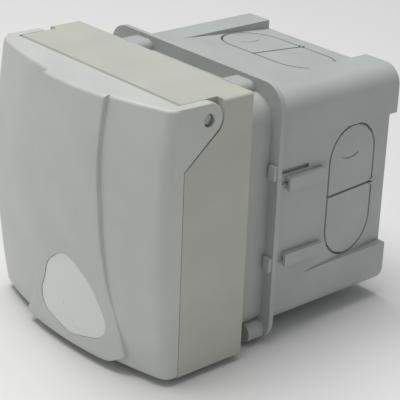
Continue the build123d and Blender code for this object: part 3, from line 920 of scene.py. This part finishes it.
@dataclass
class Lid:
    """Sprung lid: hollow shell, hinge ears, seal seat and the label's recess."""

    form: LidForm
    pin: Pair = (-19.3, 44.0)
    ear_radius: float = 6.0
    ear_inner: float = 46.2
    root: float = 27.8
    hole: float = 2.36
    rounding: float = 0.5
    edge_width: float = 0.18
    wall: float = 2.4
    hollow_back: float = -28.0
    core_inset: float = 1.2
    floor_inset: float = 0.9
    foot: float = 2.0
    top: float = 1.2
    axis_level: float = -2.1
    seat_profile: tuple[Pair, ...] = (
        (29.7, -46.0), (29.7, -36.0), (36.0, -36.0), (36.0, -34.8), (37.1, -34.8), (37.1, -46.0),
    )
    label_play: float = 0.15
    label_circles: tuple[tuple[Pair, float], ...] = (
        ((0.0, -23.0), 9.5),
        ((-11.5, -35.5), 6.8),
        ((0.0, -30.0), 15.0),
        ((11.5, -35.5), 6.8),
    )

    def ear(self, side: int) -> bpy.types.Object:
        """One hinge ear with its outer edge rounded.

        Args:
            side: 1 on the right and -1 on the left.

        Returns:
            The new mesh object.
        """
        y, z = self.pin
        inside = self.form.back - self.wall
        run, rise = self.form.back - y, self.root - z
        touch = math.atan2(rise, run) + math.acos(self.ear_radius / math.hypot(run, rise))
        end = math.degrees(touch) - 360 if touch > math.pi / 2 else math.degrees(touch)
        lobe = arc(self.pin, self.ear_radius, 90, end, 28)
        outline = lobe + [(self.form.back, self.root), (inside, self.root), (inside, z + self.ear_radius)]
        thick = self.form.half - self.ear_inner
        rounding = [(0.0, 0.0)]
        rounding += [(thick - self.rounding * (1 - math.sin(t)), self.rounding * (1 - math.cos(t)))
                     for t in (math.pi / 8 * i for i in range(5))]
        sections = [[(side * (self.ear_inner + out), *self.shrink(point, inset)) for point in outline]
                    for out, inset in rounding]
        return loft("ear", sections)

    def shrink(self, point: Pair, inset: float) -> Pair:
        """Draws a point of the ear's outline towards the pin, behind the lid's edge only.

        Args:
            point: the point as (y, z).
            inset: how far it is drawn in.

        Returns:
            The point's new place.
        """
        y, z = point
        if not inset or y <= self.form.back:
            return point
        away = math.hypot(y - self.pin[0], z - self.pin[1])
        keep = 1 - inset / max(away, 1e-6)
        return self.pin[0] + (y - self.pin[0]) * keep, self.pin[1] + (z - self.pin[1]) * keep

    def label_outline(self, grow: float, y: float) -> list[Point]:
        """Rounded triangle of the label.

        Args:
            grow: how much wider than the label it is all round.
            y: the depth at which it stands.

        Returns:
            The closed outline.
        """
        middle = self.form.middle
        circles = [((middle + x, z), radius) for (x, z), radius in self.label_circles]
        points = []
        for i in range(120):
            turn = 2 * math.pi * i / 120
            ray = (math.cos(turn), math.sin(turn))
            reach = [(c[0] * ray[0] + c[1] * ray[1] + r + grow, c, r) for c, r in circles]
            _, centre, radius = max(reach)
            points.append((centre[0] + (radius + grow) * ray[0], y, centre[1] + (radius + grow) * ray[1]))
        return points

    def seat(self) -> bpy.types.Object:
        """Seal's seat inside the lid, trimmed to the lid's skin.

        Returns:
            The new mesh object.
        """
        ring = turned("seat", list(self.seat_profile), (0, 0, self.axis_level))
        combine(ring, self.form.solid("core", self.core_inset, None), "INTERSECT")
        return ring

    def build(self, palette: Palette) -> bpy.types.Object:
        """Models the lid and lets it stand for its node.

        Args:
            palette: the finishes.

        Returns:
            The lid.
        """
        lid = self.form.solid("lid_shell", 0.0, 0.0, foot=self.foot, top=self.top)
        combine(lid, self.form.solid("hollow", self.wall, None, back=self.hollow_back), "DIFFERENCE")
        for side in (-1, 1):
            combine(lid, self.ear(side), "UNION")
        circle = arc(self.pin, self.hole, 0, 360, 48)[:-1]
        combine(lid, prism("bore", [(-60.0, y, z) for y, z in circle], (120.0, 0, 0)), "DIFFERENCE")
        combine(lid, self.seat(), "UNION")
        recess = prism("recess", self.label_outline(self.label_play, -60.0), (0, 29.0, 0))
        combine(recess, self.form.solid("floor", self.floor_inset, self.floor_inset), "DIFFERENCE")
        combine(lid, recess, "DIFFERENCE")
        finish_edges(lid, self.edge_width, 2, 40)
        palette.dress(lid, Finish.LID)
        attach(lid, "lid")
        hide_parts("lid")
        LOG.info("lid: %d faces", len(lid.data.polygons))
        return lid


# Other pieces


@dataclass
class Softened:
    """A node's own form with its edges broken as the mould or the tool leaves them."""

    node: str
    width: float
    segments: int = 2
    sharp: float = 32.0

    def build(self, palette: Palette, finish: Finish, body: str) -> bpy.types.Object:
        """Copies the node, rounds its edges and lets the copy stand for it.

        Args:
            palette: the finishes.
            finish: which finish it takes.
            body: the body that it rides on.

        Returns:
            The copy.
        """
        source = frame["nodes"][self.node]
        piece = source.copy()
        piece.data = source.data.copy()
        piece.name = f"{self.node}_soft"
        piece.parent = None
        bpy.context.scene.collection.objects.link(piece)
        self.shape(piece)
        finish_edges(piece, self.width, self.segments, self.sharp)
        palette.dress(piece, finish)
        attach(piece, body)
        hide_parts(self.node)
        LOG.info("%s: %d faces", self.node, len(piece.data.polygons))
        return piece

    def shape(self, piece: bpy.types.Object) -> None:
        """Changes the copy before its edges are rounded; nothing for most nodes."""


@dataclass
class FlushBox(Softened):
    """Flush box with the lines of its knock-outs cut deeper where they are open."""

    axis_level: float = -2.1
    middle: float = 58.2
    radius: float = 12.85
    reach: float = 13.2
    bar: float = 13.0
    bar_half_width: float = 0.32
    depth: float = 1.6
    crescent_turn: float = 58.0
    crescent_spread: float = 52.0
    crescent_width: float = 0.95
    mark_radius: float = 9.6
    mark_spread: float = 60.0
    mark_width: float = 0.5
    mark_depth: float = 0.35
    mark_lead: float = 1.3
    channel: float = 45.0
    channel_slope: float = 0.0786
    channel_start: float = 34.0
    clearance: float = 1.5

    def floor(self, y: float) -> float:
        """Height of the channel's floor over the socket's axis at depth y."""
        return self.channel - self.channel_slope * (y - self.channel_start)

    def sunk(self, outline: list[Pair], depth: float, turn: int) -> bpy.types.Object:
        """Cutter that follows a channel's slope.

        Args:
            outline: its outline as (y, height above the axis), on the right wall.
            depth: how far it reaches into the wall.
            turn: quarter turns about the socket's axis from the right wall.

        Returns:
            The cutter.
        """
        points = [(self.floor(y) - depth, y, z) for y, z in outline]
        cutter = prism("cutter", points, (depth + self.clearance, 0, 0))
        lift = Matrix.Translation((0, 0, self.axis_level * MM))
        cutter.data.transform(lift @ Matrix.Rotation(math.radians(90 * turn), 4, "Y"))
        return cutter

    def band(self, centre: Pair, radius: float, middle: float, spread: float, width: float) -> list[Pair]:
        """Outline of a curved slot that follows a circle.

        Args:
            centre: the circle's middle.
            radius: its radius.
            middle: the direction of the slot's middle in degrees.
            spread: the angle that the slot takes up.
            width: the slot's width.

        Returns:
            Its outline.
        """
        start, end = middle - spread / 2, middle + spread / 2
        outer = arc(centre, radius + width / 2, start, end, 14)
        inner = arc(centre, radius - width / 2, end, start, 14)
        return outer + inner

    def shape(self, piece: bpy.types.Object) -> None:
        """Cuts the bar, two crescents and the small mark of each knock-out.

        Args:
            piece: the box's copy.
        """
        near, far, half = self.middle - self.bar, self.middle + self.bar, self.bar_half_width
        bar = [(near, -half), (far, -half), (far, half), (near, half)]
        mark_place = (self.middle - self.mark_lead, self.reach + self.mark_radius)
        mark = self.band(mark_place, self.mark_radius, -90, self.mark_spread, self.mark_width)
        for turn in range(4):
            side = 1 if turn % 2 == 0 else -1
            lines = [(bar, self.depth)]
            for end, start in ((side, 0), (-side, 180)):
                place = (self.middle, end * self.reach)
                aim = start + side * self.crescent_turn
                crescent = self.band(place, self.radius, aim, self.crescent_spread, self.crescent_width)
                lines.append((crescent, self.depth))
            lines.append((mark, self.mark_depth))
            for outline, depth in lines:
                combine(piece, self.sunk(outline, depth, turn), "DIFFERENCE")


OTHER_ROUNDING = 0.12
ROUNDINGS = {
    "front_frame": 0.30, "flush_box": 0.16, "label_plate": 0.08, "lid_seal": 0.7, "frame_seal": 0.3,
    "shroud": 0.35, "shroud_floor": 0.2, "contact_carrier": 0.3, "carrier_back": 0.3, "hinge_pin": 0.15,
}


def rounding_of(node: str) -> float:
    """Width of the edge rounding that a node's real piece has, in millimetres."""
    return ROUNDINGS.get(node, OTHER_ROUNDING)


# Main


def main() -> None:
    """Builds the studio, models the object's pieces and dresses them in order."""
    logging.basicConfig(level=logging.INFO, format="%(name)s: %(message)s")
    palette = Palette()
    Studio().build()
    slots = {row["node"]: Finish(row["material_slot"]) for row in frame["record"]["subparts"]}
    bodies = frame["record"]["behaviour"]["bodies"]
    for name, node in frame["nodes"].items():
        palette.dress(node, slots[name])
        if name in ("lid", "lid_spring"):
            continue
        body = "lid" if name in bodies["lid"] else "base"
        finish = Finish.PIN if name == "hinge_pin" else slots[name]
        kind = FlushBox if name == "flush_box" else Softened
        kind(name, rounding_of(name)).build(palette, finish, body)
    Lid(LidForm()).build(palette)


if __name__ == "__main__":
    main()
